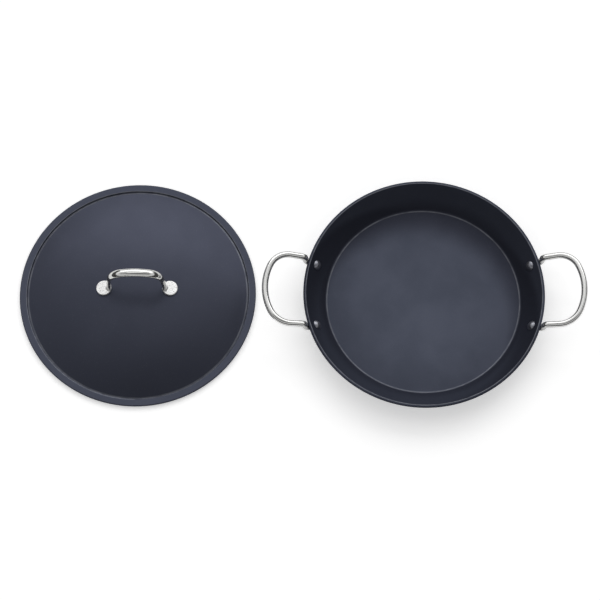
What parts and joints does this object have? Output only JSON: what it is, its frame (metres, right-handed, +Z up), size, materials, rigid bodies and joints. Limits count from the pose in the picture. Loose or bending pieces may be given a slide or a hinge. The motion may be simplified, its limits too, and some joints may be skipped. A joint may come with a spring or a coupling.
{
  "type": "two-handled seafood pan",
  "caption": "Shallow round pan with a flat floor, a flared wall and riveted wire loop handles, with its stepped and domed lid taken off beside it.",
  "frame": {"origin": "centre of the flat underside of the pan", "axes": "+Z up, +X from the pan's centre through its right handle, +Y towards the back of the picture"},
  "size_m": [0.7059, 0.3056, 0.0822],
  "materials": {
    "anodised_aluminium": "hard-anodised, dark blue-grey satin",
    "polished_steel": "polished stainless steel",
    "dark_rivet": "anodised black-grey, glossy",
    "flush_rivet": "satin, ground flush"
  },
  "bodies": {
    "pan": {"pan_body": "anodised_aluminium", "left_handle": "polished_steel", "right_handle": "polished_steel", "rivet_left_back": "dark_rivet", "rivet_left_front": "dark_rivet", "rivet_right_back": "dark_rivet", "rivet_right_front": "dark_rivet"},
    "lid": {"lid_plate": "anodised_aluminium", "lid_handle": "polished_steel", "lid_rivet_left": "flush_rivet", "lid_rivet_right": "flush_rivet"}
  },
  "joints": [
    {"name": "lid_lift", "type": "slide", "parent": "pan", "child": "lid", "axis": [0, 0, 1], "range_m": [0, 0.15]}
  ]
}
